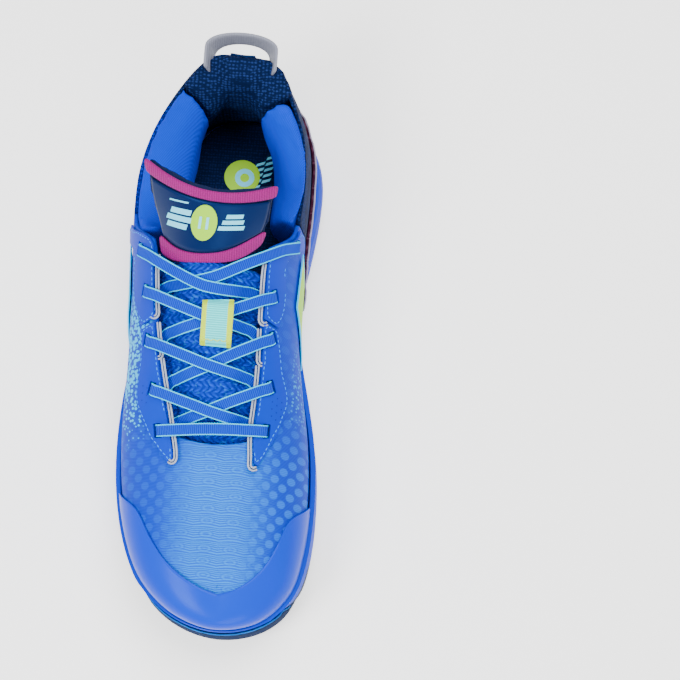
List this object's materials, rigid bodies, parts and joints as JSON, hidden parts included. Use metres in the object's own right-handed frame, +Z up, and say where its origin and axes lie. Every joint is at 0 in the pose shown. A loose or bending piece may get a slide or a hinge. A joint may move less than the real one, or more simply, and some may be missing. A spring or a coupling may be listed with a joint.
{
  "type": "basketball shoe",
  "caption": "Lace-up low-cut basketball shoe for the right foot, with padded collar and tongue, heel pull loop, knitted upper, toe film and a cushioned rubber sole.",
  "frame": {"origin": "middle of the bounding box in plan, on the ground under the outsole", "axes": "+Y towards the heel, +X towards the medial side (big toe side), +Z up"},
  "size_m": [0.1108, 0.3122, 0.1321],
  "materials": {
    "outsole_rubber": "satin",
    "midsole_foam": "satin moulded foam",
    "shank": "satin",
    "board": "matte pressed board",
    "insole_foam": "matte knit over foam",
    "badge": "satin transfer",
    "mesh": "matte engineered mesh",
    "toe_film": "semi-gloss film",
    "overlay": "satin",
    "quarter": "matte mesh",
    "counter": "matte",
    "cage": "semi-gloss",
    "backstay": "satin",
    "piping": "satin woven",
    "flash": "satin film",
    "collar_blue": "matte twill",
    "collar_navy": "matte dotted knit",
    "loop_webbing": "satin webbing",
    "tongue_fabric": "matte braided",
    "tongue_knit": "matte",
    "tongue_film": "satin film",
    "trim": "matte ribbed",
    "keeper": "satin woven",
    "lace": "matte flat woven",
    "aglet": "gloss"
  },
  "bodies": {
    "shoe": {"outsole": "outsole_rubber", "midsole": "midsole_foam", "shank_plate": "shank", "strobel_board": "board", "insole": "insole_foam", "insole_badge": "badge", "upper_mesh": "mesh", "toe_cap": "toe_film", "eyestay_upper_lateral": "overlay", "eyestay_upper_medial": "overlay", "eyestay_lower_lateral": "overlay", "eyestay_lower_medial": "overlay", "rear_quarter_lateral": "quarter", "rear_quarter_medial": "quarter", "heel_counter": "counter", "heel_cage": "cage", "backstay": "backstay", "piping_lateral": "piping", "piping_medial": "piping", "side_flash_lateral": "flash", "side_flash_medial": "flash", "collar_lateral": "collar_blue", "collar_medial": "collar_blue", "heel_collar": "collar_navy", "tongue_body": "tongue_fabric", "lace_keeper": "keeper", "lace": "lace", "aglet_lateral": "aglet", "aglet_medial": "aglet"},
    "tongue_top": {"tongue_pad": "tongue_knit", "tongue_label": "tongue_film", "tongue_trim_upper": "trim", "tongue_trim_lower": "trim"},
    "heel_loop": {"pull_loop": "loop_webbing"}
  },
  "joints": [
    {"name": "tongue_bend", "type": "hinge", "parent": "shoe", "child": "tongue_top", "pos_m": [-0.0085, 0.02267, 0.101], "axis": [1, 0, 0], "range_deg": [-18, 8], "stiffness_Nm_per_rad": 0.4},
    {"name": "loop_bend", "type": "hinge", "parent": "shoe", "child": "heel_loop", "pos_m": [-0.0022, 0.1426, 0.0988], "axis": [1, 0, 0], "range_deg": [-15, 15], "stiffness_Nm_per_rad": 0.02}
  ]
}
